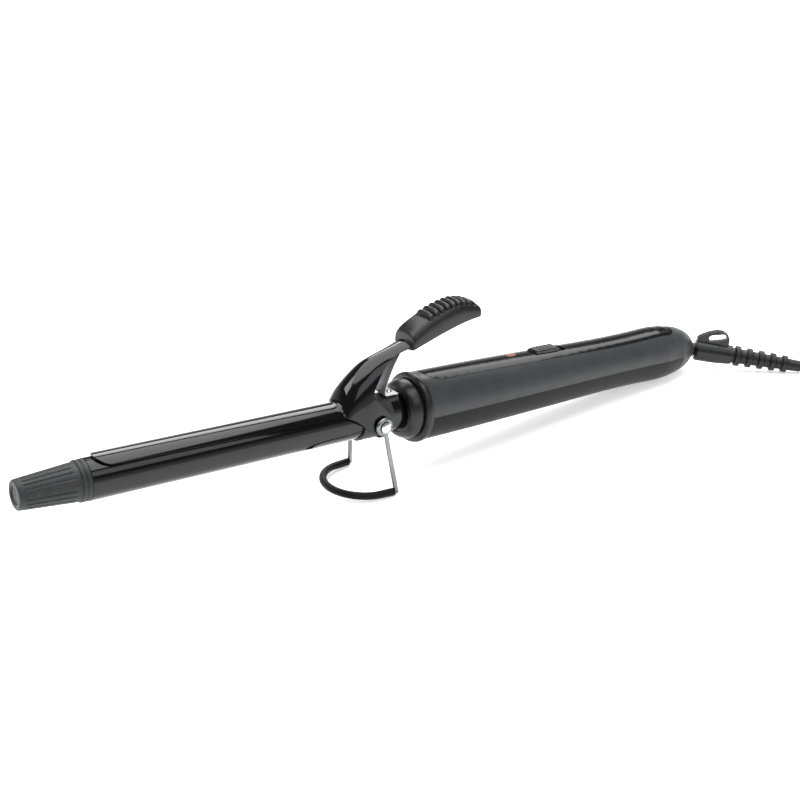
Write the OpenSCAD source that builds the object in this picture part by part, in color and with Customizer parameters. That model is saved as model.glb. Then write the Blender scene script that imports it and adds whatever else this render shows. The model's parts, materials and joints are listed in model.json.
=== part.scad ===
// Curling iron with a sprung clip, a folding wire stand and a swivel lead.
// Frame: origin on the table under the clip's hinge pins, +Z up, +X from the tip to the lead, +Y away.
// The iron rests as in use: on the stand's loop and on the rear of its handle.

/* [Iron] */
// Tip-up angle of the barrel when the iron rests on its stand, degrees
tilt = 5.6; // [3:0.1:9]
// Outside diameter of the barrel
barrel_d = 16; // [13:1:25]
// Wall of the barrel tube
barrel_wall = 0.8; // [0.5:0.1:1.5]
// Length from the hinge pins to the end of the cool tip
tip_reach = 150; // [120:1:180]
// Length of the cool tip, without its ring
tip_length = 22.3; // [15:0.1:35]

/* [Clip] */
// Sheet thickness of the clip
clip_sheet = 0.9; // [0.6:0.1:1.5]
// Gap between the closed clip and the barrel
clip_gap = 0.25; // [0.15:0.05:0.6]
// Outside width across the hinge ears
ear_span = 21.8; // [20:0.2:28]
// Radius of the round boss of each ear
ear_r = 5.3; // [4:0.1:7]
// Half width of the thumb press
thumb_w = 7; // [5:0.5:9]
// Number of grip ribs on the thumb press
thumb_ribs = 8; // [4:1:12]

/* [Stand] */
// Wire diameter of the stand
wire_d = 2; // [1.5:0.1:3]
// Outside diameter of the heat sleeve
sleeve_d = 3.2; // [2.6:0.1:5]
// Half width between the stand's feet
foot_y = 16.7; // [14:0.1:24]
// Distance of the feet behind the hinge pins
foot_x = 2.2; // [0:0.1:5]
// Straight length of the loop's sides before its round front
loop_straight = 7.4; // [4:0.1:15]
// Inward turn of the loop's sides, degrees
loop_turn = 5; // [0:1:25]
// Rise of the loop from its feet to its front, degrees
loop_rise = 5; // [0:0.5:10]

/* [Handle] */
// Wall of the handle shells
shell_wall = 2.2; // [1.5:0.1:3]
// Half width of the glossy top panel
panel_w = 6.8; // [4:0.1:9]
// Travel of the slide switch
switch_travel = 4; // [2:0.5:6]

/* [Lead] */
// Cord diameter
cord_d = 4.8; // [4:0.1:7]
// Straight run of the folded cord
hank_run = 96; // [72:1:96]
// Radius of the innermost fold, at the middle of the cord
fold_r = 15; // [15:1:20]
// Length of the swivel connector in front of its ball
connector_length = 26; // [20:1:35]

/* [Hidden] */
$fn = 64;
fit = 0.05;
eps = 0.01;
barrel_r = barrel_d / 2;
ring_x = -tip_reach + tip_length;
barrel_start = ring_x + 3.6;
barrel_end = 34;
clip_in = barrel_r + clip_gap;
clip_out = clip_in + clip_sheet;
pin_r = 1.95;
ear_t = 1.4;
eye_y = ear_span / 2 + 0.2 + wire_d / 2;
collar_start = 14.2;
ring_front = 20.6;
handle_start = 24;
handle_end = 184;
cap_end = 196.2;
ball_x = 194.5;
ball_r = 6.5;
neck_r = 3.2;

// The hinge stands over this place, which puts the origin under the middle of the iron
iron_x = -44.2;
iron_y = 13;

// Handle outline: distance from the hinge, radius
handle_line = [[24, 14.8], [40, 14.7], [62, 14.4], [100, 13.6], [135, 12.8], [155, 12.8],
               [172, 13.2], [179, 12.8], [184, 12.1]];

// Clip hood: distance from the hinge, crest height, half width at the lower edge, lower edge height
hood_line = [[-18.6, 9.6, 7.5, 5.4], [-17.6, 11.9, 8.2, 4.8], [-16, 14.7, 8.8, 4.2],
             [-13.8, 17.1, 9.2, 3.8], [-10.6, 19.7, 9.5, 3.6], [-5.7, 23, 9.7, 3.6],
             [-2.4, 24.9, 9.7, 3.6], [-2.2, 25, 8.9, 12], [0.5, 26.1, 7.5, 18], [3.9, 27.3, 6.1, 22.1],
             [7.3, 28.3, 5.2, 25.4], [11.2, 29.4, 4.8, 27.6], [15.4, 30.7, 4.7, 29.2]];

// Thumb press: distance from the hinge, underside height, edge height, crown height
thumb_line = [[16.6, 27.4, 31.8, 34.6], [19, 28.2, 33.4, 37], [23, 29.5, 35.6, 39.4],
              [29, 31.5, 38.2, 42.2], [35, 33.4, 40.2, 44.1], [41, 35.2, 41.4, 45.1],
              [46.5, 36.6, 41.9, 45.2], [51, 37.6, 41.6, 44.6], [54.5, 38.2, 41, 43.5]];

// Lead: points from under the hinge, from the strain relief to the hank, then from the hank to the plug
lead_route = [for (p = [[236.5, -42, 3.4], [243, -47.6, 2.9], [251, -51.6, 2.5], [261, -53.3, 2.5],
                        [274, -53, 2.5], [288, -51.2, 2.5], [302, -50, 2.5]]) p + [iron_x, iron_y, 0]];
lead_end = lead_route[len(lead_route) - 1];
tail_route = [for (p = [[408, -50, 7.2], [416, -48.6, 6.4], [424, -45.4, 5.2], [432, -41.4, 5.1],
                        [440, -38.2, 6], [448, -36.8, 6.8]]) p + [iron_x, iron_y, 0]];
hank_start = iron_x + 310;
hank_y = lead_end[1] + fold_r + 10;
plug_x = tail_route[5][0] + 14;
plug_y = tail_route[5][1];

function slope(s, i) =
    let (a = max(i - 1, 0), b = min(i + 1, len(s) - 1)) (s[b] - s[a]) / (s[b][0] - s[a][0]);
function place(s, x, i = 0) = (i >= len(s) - 2 || x <= s[i + 1][0]) ? i : place(s, x, i + 1);
// Smooth line through the stations of s at x: every column as a cubic between neighbours
function smooth(s, x) =
    let (i = place(s, x), h = s[i + 1][0] - s[i][0], t = (x - s[i][0]) / h, u = t * t, v = u * t)
    (2 * v - 3 * u + 1) * s[i] + (v - 2 * u + t) * h * slope(s, i)
    + (3 * u - 2 * v) * s[i + 1] + (v - u) * h * slope(s, i + 1);
function span(a, b, n) = [for (i = [0 : n]) a + (b - a) * i / n];

// The hinge height puts the lowest point of the handle on the table
hinge_z = max([for (x = span(handle_start, handle_end, 80))
               smooth(handle_line, x)[1] * cos(tilt) + x * sin(tilt)]) + 0.05;
ball = [iron_x + ball_x * cos(tilt), iron_y, hinge_z - ball_x * sin(tilt)];
swivel_dir = lead_route[0] - ball;
swivel_length = norm(swivel_dir);
swivel_yaw = atan2(swivel_dir[1], swivel_dir[0]);
swivel_pitch = -asin(swivel_dir[2] / swivel_length);
leg_drop = hinge_z - sleeve_d / 2;
leg_back = atan(foot_x / leg_drop);
lean = atan((foot_y - eye_y) * cos(leg_back) / leg_drop);
loop_r = (foot_y - loop_straight * sin(loop_turn)) / cos(loop_turn);
loop_reach = loop_straight * cos(loop_turn) - loop_r * sin(loop_turn);

module on_stand() {
    translate([iron_x, iron_y, hinge_z]) rotate([0, tilt, 0]) children();
}

// Turns a profile drawn as [radius, distance] about the barrel's axis
module around(angle = 360, from = 0) {
    rotate([0, 90, 0]) rotate([0, 0, from]) rotate_extrude(angle = angle) children();
}

module rod(a, b, r) {
    translate([a, 0, 0]) rotate([0, 90, 0]) cylinder(h = b - a, r = r);
}

module tube(a, b, r, bore) {
    difference() {
        rod(a, b, r);
        rod(a - 1, b + 1, bore);
    }
}

module stadium(length, width) {
    square([length - width, width], center = true);
    for (s = [-1, 1]) translate([s * (length - width) / 2, 0]) circle(d = width);
}

// ---- Barrel ----

module barrel_tube() {
    color("#1b1b1d") on_stand() tube(barrel_start, barrel_end, barrel_r, barrel_r - barrel_wall);
}

module cool_tip() {
    small_r = 5.6;
    large_r = 7.35;
    taper = atan((large_r - small_r) / tip_length);
    color("#3a3b3d") on_stand() difference() {
        union() {
            around() polygon([[0, -tip_reach], [small_r - 0.5, -tip_reach], [small_r, -tip_reach + 0.5],
                              [large_r, ring_x - 0.6], [large_r, ring_x], [0, ring_x]]);
            rod(ring_x, barrel_start + 7, barrel_r - barrel_wall - fit);
        }
        for (a = [0 : 18 : 342])
            rotate([a, 0, 0]) translate([-tip_reach + 2, 0, small_r + 0.5])
                rotate([0, 90 - taper, 0]) cylinder(h = tip_length - 4.5, r = 0.6, $fn = 16);
        rod(-tip_reach - 1, -tip_reach + 0.6, 3.4);
    }
}

module tip_ring() {
    inner = barrel_r - barrel_wall + fit;
    color("#232325") on_stand() around() polygon([[inner, ring_x + eps], [7.5, ring_x + eps],
        [7.8, ring_x + 0.4], [7.8, ring_x + 1.3], [7.5, ring_x + 1.6], [7.5, ring_x + 2],
        [7.8, ring_x + 2.3], [7.8, barrel_start - eps], [inner, barrel_start - eps]]);
}

module heat_spreader(from) {
    core_r = barrel_r - barrel_wall - fit;
    half = 1.9;
    difference() {
        rod(-108, -22, core_r);
        translate([-110, -10, from > 0 ? -10 : -half]) cube([90, 20, 10 + half]);
        translate([0, 0, from * 5]) rod(-110, -20, 0.9);
    }
}

module heat_spreader_upper() {
    color("#a9abad") on_stand() heat_spreader(1);
}

module heat_spreader_lower() {
    color("#a9abad") on_stand() heat_spreader(-1);
}

module ptc_heater() {
    color("#6d6a66") on_stand() for (i = [0 : 2])
        translate([-104 + i * 27, -4.5, -1.5]) cube([24, 9, 3]);
}

module insulating_sheets() {
    color("#c98a2b") on_stand() for (z = [-1.8, 1.55])
        translate([-106, -5.5, z]) cube([82, 11, 0.25]);
}

module thermal_fuse() {
    color("#d9d4c4") on_stand() translate([0, 0, 2]) rod(-14, -3, 1.7);
}

module heater_wires() {
    color("#b23a2e") on_stand() for (y = [-5.4, 5.4])
        translate([0, y, 0]) rod(-18, 68, 0.9);
}

// ---- Hinge ----

module hinge_saddle() {
    color("#b4b6b8") on_stand() difference() {
        union() {
            tube(-7, 7.5, 9, barrel_r + fit / 2);
            intersection() {
                tube(7.4, 12.4, 9, barrel_r + fit / 2);
                translate([7, -4.5, 0]) cube([6, 9, 10]);
            }
        }
        translate([0, -20, 0]) rotate([-90, 0, 0]) cylinder(h = 40, r = pin_r);
        translate([10, 0, 5]) cylinder(h = 6, r = 0.9);
    }
}

module hinge_pins() {
    color("#c9cbcd") on_stand() for (s = [-1, 1]) rotate([s * 90, 0, 0]) {
        translate([0, 0, barrel_r + fit]) cylinder(h = eye_y + wire_d / 2 + 0.2 - barrel_r, r = pin_r - eps);
        translate([0, 0, eye_y + wire_d / 2 + 0.15]) cylinder(h = 0.5, r = 2.35);
        translate([0, 0, eye_y + wire_d / 2 + 0.65]) cylinder(h = 0.45, r1 = 2.35, r2 = 1.6);
    }
}

module leaf_spring() {
    t = 0.5;
    foot = 9.05;
    color("#b9bbbd") on_stand() difference() {
        translate([0, 4, 0]) rotate([90, 0, 0]) linear_extrude(8) {
            translate([6.8, foot]) square([5.6, t]);
            difference() {
                translate([6.8, foot + 1.5]) circle(r = 1.5);
                translate([6.8, foot + 1.5]) circle(r = 1.5 - t);
                translate([6.8, foot - 1]) square([3, 6]);
                translate([3, foot + 1.5]) square([6, 6]);
            }
            polygon([[5.3, foot + 1.45], [5.3 + t, foot + 1.45], [6.7, 15], [9, 21], [12.1, 27.2],
                     [11.6, 27.5], [8.5, 21.2], [6.2, 15.1]]);
        }
        translate([10, 0, 8]) cylinder(h = 3, r = 0.95);
    }
}

module spring_rivet() {
    color("#d5d6d8") on_stand() translate([10, 0, 0]) {
        translate([0, 0, barrel_r + 0.1]) cylinder(h = 1.5, r = 0.85);
        translate([0, 0, 9.6]) cylinder(h = 0.7, r1 = 1.6, r2 = 1.1);
    }
}

// ---- Clip: spoon, hood and ears are one pressing ----

// Points of one arch of the hood, inset by t from the outer face
function arch(x, t, n) =
    let (s = smooth(hood_line, x))
    [for (i = [0 : n]) let (a = -90 + 180 * i / n)
        [x, (s[2] - t) * sin(a), s[3] + (s[1] - t - s[3]) * cos(a)]];

module arch_shell(stations, t, n) {
    outer = [for (x = stations) each arch(x, 0, n)];
    inner = [for (x = stations) each arch(x, t, n)];
    m = n + 1;
    k = len(stations) - 1;
    o = len(outer);
    polyhedron(points = concat(outer, inner), faces = concat(
        [for (j = [0 : k - 1], i = [0 : n - 1])
            [j * m + i, j * m + i + 1, (j + 1) * m + i + 1, (j + 1) * m + i]],
        [for (j = [0 : k - 1], i = [0 : n - 1])
            [o + j * m + i, o + (j + 1) * m + i, o + (j + 1) * m + i + 1, o + j * m + i + 1]],
        [for (j = [0 : k - 1]) [j * m, (j + 1) * m, o + (j + 1) * m, o + j * m]],
        [for (j = [0 : k - 1]) [j * m + n, o + j * m + n, o + (j + 1) * m + n, (j + 1) * m + n]],
        [for (i = [0 : n - 1]) [i, o + i, o + i + 1, i + 1]],
        [for (i = [0 : n - 1]) [k * m + i, k * m + i + 1, o + k * m + i + 1, o + k * m + i]]));
}

module spoon() {
    nose = -121.4;
    intersection() {
        tube(nose - 1, -14, clip_out, clip_in);
        linear_extrude(12) {
            polygon([[nose + 5, -6.2], [-14, -7.3], [-14, 7.3], [nose + 5, 6.2]]);
            intersection() {
                translate([nose + 6.2, 0]) circle(r = 6.2);
                translate([nose - 1, -7]) square([7.5, 14]);
            }
        }
    }
}

// Outline of one ear in the plane of the barrel's side
module ear_outline() {
    circle(r = ear_r);
    polygon([[-14.5, 4.2], [-2.6, 12.8], [1, 9.4], [ear_r, 2.7], [0, -ear_r], [-4.6, -2.6]]);
}

module thumb_tongue(grow) {
    translate([15, 0, 29.4]) rotate([0, -16.5, 0])
        translate([-0.3, -4.4 - grow, -grow]) cube([32 + grow, 8.8 + 2 * grow, 1.2 + 2 * grow]);
}

module clip_lever() {
    stations = [for (i = [0 : len(hood_line) - 1]) hood_line[i][0]];
    color("#161618") on_stand() difference() {
        union() {
            spoon();
            arch_shell(stations, 1, 18);
            for (s = [-1, 1]) translate([0, s * (ear_span / 2 - ear_t / 2), 0]) rotate([90, 0, 0])
                linear_extrude(ear_t, center = true) ear_outline();
            thumb_tongue(0);
        }
        translate([0, -20, 0]) rotate([-90, 0, 0]) cylinder(h = 40, r = pin_r + fit);
        rod(-9, 13, 9.35);
    }
}

// Cross-section of the thumb press at x: flat underside, upright edges, crowned top
function press_section(x, n) =
    let (s = smooth(thumb_line, x), e = min(1, (56 - x) / 5 + 0.25), w = thumb_w * min(1, sqrt(e)))
    concat([[x, -w, s[1]]],
           [for (i = [0 : n]) let (a = -90 + 180 * i / n)
               [x, w * sin(a), s[2] + (s[3] - s[2]) * cos(a)]],
           [[x, w, s[1]]]);

module thumb_press() {
    n = 12;
    stations = span(16.6, 54.5, 18);
    m = n + 3;
    k = len(stations) - 1;
    color("#2c2c2e") on_stand() difference() {
        union() {
            polyhedron(points = [for (x = stations) each press_section(x, n)], faces = concat(
                [for (j = [0 : k - 1], i = [0 : m - 1])
                    [j * m + i, j * m + (i + 1) % m, (j + 1) * m + (i + 1) % m, (j + 1) * m + i]],
                [[for (i = [m - 1 : -1 : 0]) i], [for (i = [0 : m - 1]) k * m + i]]));
            for (i = [0 : thumb_ribs - 1]) let (x = 24 + i * 28 / (thumb_ribs - 1), s = smooth(thumb_line, x))
                translate([x, 4.4, s[3] - 0.7]) rotate([90, 0, 0]) cylinder(h = 8.8, r = 1.5, $fn = 24);
        }
        thumb_tongue(fit);
    }
}

// ---- Stand ----

// Eye round the pin, leg and foot corner
module stand_side(s) {
    leg = leg_drop / cos(lean) / cos(leg_back);
    eye_r = pin_r + fit + wire_d / 2;
    translate([iron_x, iron_y + s * eye_y, hinge_z]) {
        rotate([90, 0, 0]) rotate_extrude() translate([eye_r, 0]) circle(d = wire_d);
        rotate([0, -leg_back, 0]) rotate([s * lean, 0, 0])
            translate([0, 0, -leg]) cylinder(h = leg - eye_r + 0.3, d = wire_d);
    }
    translate([iron_x + foot_x, iron_y + s * foot_y, sleeve_d / 2]) sphere(d = wire_d + 0.2);
}

// The loop: a round front of radius r, and sides a little thicker that start at x from the feet
module loop(r, x) {
    translate([iron_x + foot_x, iron_y, sleeve_d / 2]) rotate([0, loop_rise, 0]) {
        translate([-loop_reach, 0, 0]) rotate([0, 0, 90 + loop_turn])
            rotate_extrude(angle = 180 - 2 * loop_turn) translate([loop_r, 0]) circle(r = r);
        for (s = [-1, 1]) translate([0, s * foot_y, 0]) rotate([0, 0, s * loop_turn])
            rod(-loop_straight - 0.3, x, r + 0.05);
    }
}

module wire_stand() {
    color("#9b9da0") union() {
        for (s = [-1, 1]) stand_side(s);
        loop(wire_d / 2, 0);
    }
}

module stand_sleeve() {
    color("#1a1a1a") difference() {
        loop(sleeve_d / 2, -1.2);
        loop(wire_d / 2 + 0.08, 1);
    }
}

// ---- Handle ----

function outline(grow) =
    [for (x = span(handle_start, handle_end, 26)) [smooth(handle_line, x)[1] + grow, x]];

module shell_section() {
    inner = outline(-shell_wall);
    polygon(concat(outline(0), [for (i = [len(inner) - 1 : -1 : 0]) inner[i]]));
}

module front_collar() {
    color("#2a2a2c") on_stand() around() polygon(concat([[barrel_r + fit, collar_start + 0.8],
        [9.2, collar_start + 0.8], [9.4, collar_start]],
        [for (a = [0 : 15 : 75]) [9.6 + 3.4 * sin(a), 19.9 - 5.5 * cos(a)]],
        [[12.9, 19.9], [12.4, 20.2], [12.4, ring_front - eps], [barrel_r + fit, ring_front - eps]]));
}

module trim_ring() {
    r = 15.2;
    color("#28282a") on_stand() around() polygon([[barrel_r + fit, ring_front], [13.6, ring_front],
        [14.7, ring_front + 0.4], [r, ring_front + 1.2], [r, handle_start - 0.6],
        [14.8, handle_start - eps], [barrel_r + fit, handle_start - eps]]);
}

module barrel_bushing() {
    color("#d8d3c6") on_stand() difference() {
        tube(handle_start, barrel_end, handle_line[0][1] - shell_wall - 0.15, barrel_r + fit);
        for (a = [0, 180]) rotate([a, 0, 0]) translate([20, 0, 12.4]) rod(0, 20, 0.8);
    }
}

function screw_seat(x) = smooth(handle_line, x)[1] - 4;
screw_x = [48, 140, 168];

module top_plan(grow) {
    translate([105, 0]) stadium(156 + 2 * grow, 2 * (panel_w + grow));
}

module top_band(low, high, grow) {
    intersection() {
        around(180, 90) polygon(concat(outline(high), [for (p = [for (i = [26 : -1 : 0]) outline(low)[i]]) p]));
        linear_extrude(20) top_plan(grow);
    }
}

switch_x = 100;
switch_w = 3.1;
knob_length = 14;
lens_x = 78;

module top_holes() {
    translate([switch_x, 0, 5]) linear_extrude(15)
        square([knob_length + switch_travel + 0.6, 2 * switch_w + 0.6], center = true);
    translate([lens_x, 0, 5]) linear_extrude(15) stadium(5 + 2 * fit, 2.6 + 2 * fit);
}

module handle_upper_shell() {
    color("#3b3c3e") on_stand() difference() {
        union() {
            around(179.4, 90.3) shell_section();
            for (x = screw_x) intersection() {
                translate([x, 0, 0.2]) cylinder(h = 20, r = 3.4);
                rod(handle_start, handle_end, screw_seat(x) + 3);
            }
        }
        top_band(-0.95, 3, 0.05);
        top_holes();
        for (x = screw_x) translate([x, 0, 0]) cylinder(h = 6, r = 1.3);
    }
}

module handle_lower_shell() {
    color("#232325") on_stand() difference() {
        union() {
            around(179.4, -89.7) shell_section();
            for (x = screw_x) intersection() {
                translate([x, 0, -20.2]) cylinder(h = 20, r = 4.2);
                rod(handle_start, handle_end, screw_seat(x) + 3);
            }
        }
        for (x = screw_x) {
            translate([x, 0, -10 - screw_seat(x)]) cylinder(h = 10, r = 2.7);
            translate([x, 0, -20]) cylinder(h = 25, r = 1.3);
        }
    }
}

module top_panel() {
    color("#151517") on_stand() difference() {
        top_band(-0.9, 0.12, 0);
        top_holes();
    }
}

module switch_slider() {
    top = smooth(handle_line, switch_x)[1] + 1.3;
    skirt = 9.2;
    x0 = switch_x - switch_travel / 2;
    color("#1d1d1f") on_stand() {
        translate([x0 - knob_length / 2, -switch_w, skirt - eps])
            cube([knob_length, 2 * switch_w, top - skirt - 0.5]);
        translate([x0 - knob_length / 2 + 0.5, -switch_w + 0.5, top - 0.6])
            cube([knob_length - 1, 2 * switch_w - 1, 0.6]);
        for (i = [-1 : 1]) translate([x0 + i * 2.4, switch_w - 0.7, top - 0.15])
            rotate([90, 0, 0]) cylinder(h = 2 * switch_w - 1.4, r = 0.5, $fn = 24);
        translate([x0 - 12.5, -4, skirt - 1]) cube([25, 8, 1]);
    }
}

module switch_housing() {
    color("#2b2b2b") on_stand() translate([switch_x - 8, -4, 3.5]) cube([16, 8, 4.2]);
}

module indicator_lens() {
    r = smooth(handle_line, lens_x)[1] + 0.35;
    color("#a34a35") on_stand() translate([lens_x, 0, 9.4]) linear_extrude(r - 9.4) stadium(5, 2.6);
}

module indicator_lamp() {
    color("#d8b890") on_stand() translate([lens_x, 0, 3.5]) {
        cylinder(h = 4.2, r = 1.5);
        translate([0, 0, 4.2]) sphere(r = 1.5);
    }
}

module circuit_board() {
    color("#2f5d3a") on_stand() translate([69, -8, 1.8]) cube([62, 16, 1.6]);
}

module shell_screws() {
    color("#8d8f92") on_stand() for (x = screw_x) translate([x, 0, -screw_seat(x)]) difference() {
        union() {
            cylinder(h = screw_seat(x) + 5, r = 1.25);
            translate([0, 0, -1.5]) cylinder(h = 1.5, r = 2.4);
        }
        for (a = [0, 90]) rotate([0, 0, a]) translate([-1.5, -0.3, -1.6]) cube([3, 0.6, 0.9]);
    }
}

module rear_cap() {
    color("#2e2f31") on_stand() difference() {
        around() polygon([[0, handle_end + eps], [11.8, handle_end + eps], [11.5, 187], [10.7, 190],
                          [9.5, 193], [8.2, 195.4], [7.4, cap_end], [0, cap_end]]);
        translate([ball_x, 0, 0]) sphere(r = ball_r + fit);
        rod(handle_end - 1, ball_x - 3, 5);
    }
}

// ---- Swivel and lead ----

module at_swivel() {
    translate(ball) rotate([0, swivel_pitch, swivel_yaw]) children();
}

module swivel_ball() {
    color("#202022") at_swivel() difference() {
        union() {
            sphere(r = ball_r);
            rod(0, 20, neck_r);
        }
        rod(-10, 18, 1.6);
    }
}

module loop_outline() {
    polygon([[7.6, 3], [7.6, 6.6], [10, 8.6], [13, 10.4], [16.5, 11.7], [19.5, 11.8], [22, 10.6],
             [23.3, 8.6], [23.6, 3]]);
}

module cord_connector() {
    color("#1f1f21") at_swivel() difference() {
        union() {
            around() polygon([[0, 7.4], [4.7, 7.4], [5.5, 8.6], [5.4, 18], [4.7, connector_length],
                              [0, connector_length]]);
            rotate([90, 0, 0]) linear_extrude(3.2, center = true) loop_outline();
        }
        rod(7, 20.05, neck_r + 0.02);
        translate([17.4, 0, 8.2]) rotate([90, -16, 0]) linear_extrude(6, center = true) stadium(8.6, 3.6);
    }
}

module strain_relief() {
    ribs = 5;
    pitch = 5.9;
    start = connector_length + eps;
    color("#1a1a1c") at_swivel() union() {
        around() polygon([[0, start], [3.9, start], [2.9, swivel_length - 0.5], [0, swivel_length - 0.5]]);
        for (i = [0 : ribs - 1]) let (x = start + 1.2 + i * pitch, r = 4.7 - 0.16 * i)
            around() polygon([[0, x], [r - 0.4, x], [r, x + 0.4], [r, x + 2.9], [r - 0.4, x + 3.3],
                              [0, x + 3.3]]);
    }
}

// Smooth curve through the points of a route
function curve(p, per) = concat([for (i = [0 : len(p) - 2], j = [0 : per - 1])
    let (a = p[max(i - 1, 0)], b = p[i], c = p[i + 1], d = p[min(i + 2, len(p) - 1)], t = j / per)
    0.5 * (2 * b + (c - a) * t + (2 * a - 5 * b + 4 * c - d) * t * t + (3 * b - a - 3 * c + d) * t * t * t)],
    [p[len(p) - 1]]);

// A round cord swept along a route, with its section upright across the route
module cord(route, per) {
    p = curve(route, per);
    n = 10;
    last = len(p) - 1;
    polyhedron(points = [for (i = [0 : last])
        let (d = p[min(i + 1, last)] - p[max(i - 1, 0)], side = cross(d, [0, 0, 1]) / norm(cross(d, [0, 0, 1])),
             up = cross(side, d) / norm(d))
        for (j = [0 : n - 1]) p[i] + cord_d / 2 * (cos(360 * j / n) * side + sin(360 * j / n) * up)],
        faces = concat([for (i = [0 : last - 1], j = [0 : n - 1])
            [i * n + j, (i + 1) * n + j, (i + 1) * n + (j + 1) % n, i * n + (j + 1) % n]],
            [[for (j = [0 : n - 1]) j], [for (j = [n - 1 : -1 : 0]) last * n + j]]));
}

module cord_lead() {
    color("#141414") cord(lead_route, 2);
}

module racetrack(r) {
    translate([hank_start, hank_y - r]) square([hank_run, 2 * r]);
    for (x = [0, hank_run]) translate([hank_start + x, hank_y]) circle(r = r);
}

module cord_hank() {
    color("#141414") translate([0, 0, 0.1]) linear_extrude(2 * cord_d) difference() {
        racetrack(fold_r + 10 + cord_d / 2);
        racetrack(fold_r - cord_d / 2);
    }
}

// Band round the turns of one side of the hank
module cord_tie() {
    wide = 10 + cord_d;
    color("#0e0e0e") translate([hank_start + hank_run / 2 - 4, hank_y - fold_r - 5, 0]) difference() {
        translate([0, -wide / 2 - 0.9, 0]) cube([8, wide + 1.8, 2 * cord_d + 0.9]);
        translate([-1, -wide / 2 - 0.05, -1]) cube([10, wide + 0.1, 2 * cord_d + 1.15]);
    }
}

module cord_tail() {
    color("#141414") cord(tail_route, 2);
}

module plug_body() {
    half = 17.6;
    color("#1b1b1b") translate([plug_x, plug_y, 0]) {
        linear_extrude(13.6) polygon([[0, -9], [7, -half], [19, -half], [22, -14], [22, 14], [19, half],
                                      [7, half], [0, 9]]);
        translate([0, 0, 6.8]) rod(-14, 0.1, 4.2);
    }
}

module plug_pins() {
    color("#c8c9cb") translate([plug_x, plug_y, 6.8]) for (y = [-9.3, 9.3])
        translate([0, y, 0]) rod(22, 41, 2);
}

barrel_tube();
cool_tip();
tip_ring();
heat_spreader_upper();
heat_spreader_lower();
ptc_heater();
insulating_sheets();
thermal_fuse();
heater_wires();
hinge_saddle();
hinge_pins();
leaf_spring();
spring_rivet();
clip_lever();
thumb_press();
wire_stand();
stand_sleeve();
front_collar();
trim_ring();
barrel_bushing();
handle_upper_shell();
handle_lower_shell();
top_panel();
switch_slider();
switch_housing();
indicator_lens();
indicator_lamp();
circuit_board();
shell_screws();
rear_cap();
swivel_ball();
cord_connector();
strain_relief();
cord_lead();
cord_hank();
cord_tie();
cord_tail();
plug_body();
plug_pins();
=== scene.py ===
import json
from math import radians

import bmesh
import bpy
import numpy as np
from bpy.props import FloatProperty, FloatVectorProperty, PointerProperty
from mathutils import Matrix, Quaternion, Vector


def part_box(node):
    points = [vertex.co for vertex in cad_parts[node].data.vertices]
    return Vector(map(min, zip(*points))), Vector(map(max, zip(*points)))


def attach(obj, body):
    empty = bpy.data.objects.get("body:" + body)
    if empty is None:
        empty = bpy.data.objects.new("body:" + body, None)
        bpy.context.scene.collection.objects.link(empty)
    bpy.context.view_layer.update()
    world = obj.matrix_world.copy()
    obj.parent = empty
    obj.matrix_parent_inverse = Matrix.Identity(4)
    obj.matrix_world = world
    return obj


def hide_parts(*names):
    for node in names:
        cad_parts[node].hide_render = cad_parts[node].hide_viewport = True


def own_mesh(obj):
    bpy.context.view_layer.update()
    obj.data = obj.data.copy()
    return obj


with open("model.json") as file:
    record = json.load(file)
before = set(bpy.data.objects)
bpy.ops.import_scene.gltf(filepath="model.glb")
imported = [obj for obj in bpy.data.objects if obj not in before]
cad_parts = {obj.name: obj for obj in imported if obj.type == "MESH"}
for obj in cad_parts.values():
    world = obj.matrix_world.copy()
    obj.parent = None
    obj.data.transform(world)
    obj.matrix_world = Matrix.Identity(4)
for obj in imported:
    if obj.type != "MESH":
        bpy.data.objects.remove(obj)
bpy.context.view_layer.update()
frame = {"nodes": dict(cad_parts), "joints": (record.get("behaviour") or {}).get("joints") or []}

bl_info = {
    "name": "Curling iron",
    "version": (1, 0, 0),
    "blender": (4, 5, 0),
    "location": "3D View > Sidebar > Iron",
    "description": "Builds a curling iron on its wire stand, with its lead folded beside it",
    "category": "Object",
}

# Sizes in this file are millimetres. "Iron" points have the hinge pins at their origin and the
# barrel along x. HOME is the place on the table under the hinge pins.
MM = 0.001
JOINTS = {j["name"]: j for j in frame["joints"]}
HINGE = np.array(JOINTS["clip_hinge"]["pos_m"]) / MM
HOME = HINGE * [1, 1, 0]
ALONG = np.array(JOINTS["switch_slide"]["axis"])
TILT = float(np.arctan2(-ALONG[2], ALONG[0]))
BALL = np.array(JOINTS["cord_swivel_spin"]["pos_m"]) / MM
SWIVEL = np.array(JOINTS["cord_swivel_spin"]["axis"])
BODY, CLIP, STAND, SWITCH, TURN = (
    "handle_and_barrel", "clip", "stand", "slide_switch", "cord_swivel")

# Clip: distance from the hinge, crest height
CREST_LINE = np.array([[-21, 9.15], [-20, 9.15], [-19.3, 9.3], [-18.6, 9.9], [-17.6, 11.9],
                       [-16, 14.7], [-13.8, 17.1], [-10.6, 19.7], [-5.7, 23], [-2.3, 24.95],
                       [0.5, 26.1], [3.9, 27.3], [7.3, 28.3], [11.2, 29.4], [15.4, 30.7],
                       [18, 31.5]])
# Clip: distance from the hinge, half width, height where the sides turn upright
SIDE_LINE = np.array([[-21, 9.15, 0], [-20, 9.1, 0.2], [-18.6, 8.5, 1], [-17.6, 8.35, 1.9],
                      [-16, 8.8, 2.8], [-14, 9.2, 3.3], [-11, 9.75, 3.6], [-8, 10.3, 3.6],
                      [-5, 10.75, 3.6], [-3, 10.9, 3.6], [5, 10.9, 3.6], [8, 11.6, 3.6],
                      [11.2, 12.8, 3.6], [15.4, 14.4, 3.6], [18, 15, 3.6]])
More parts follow.
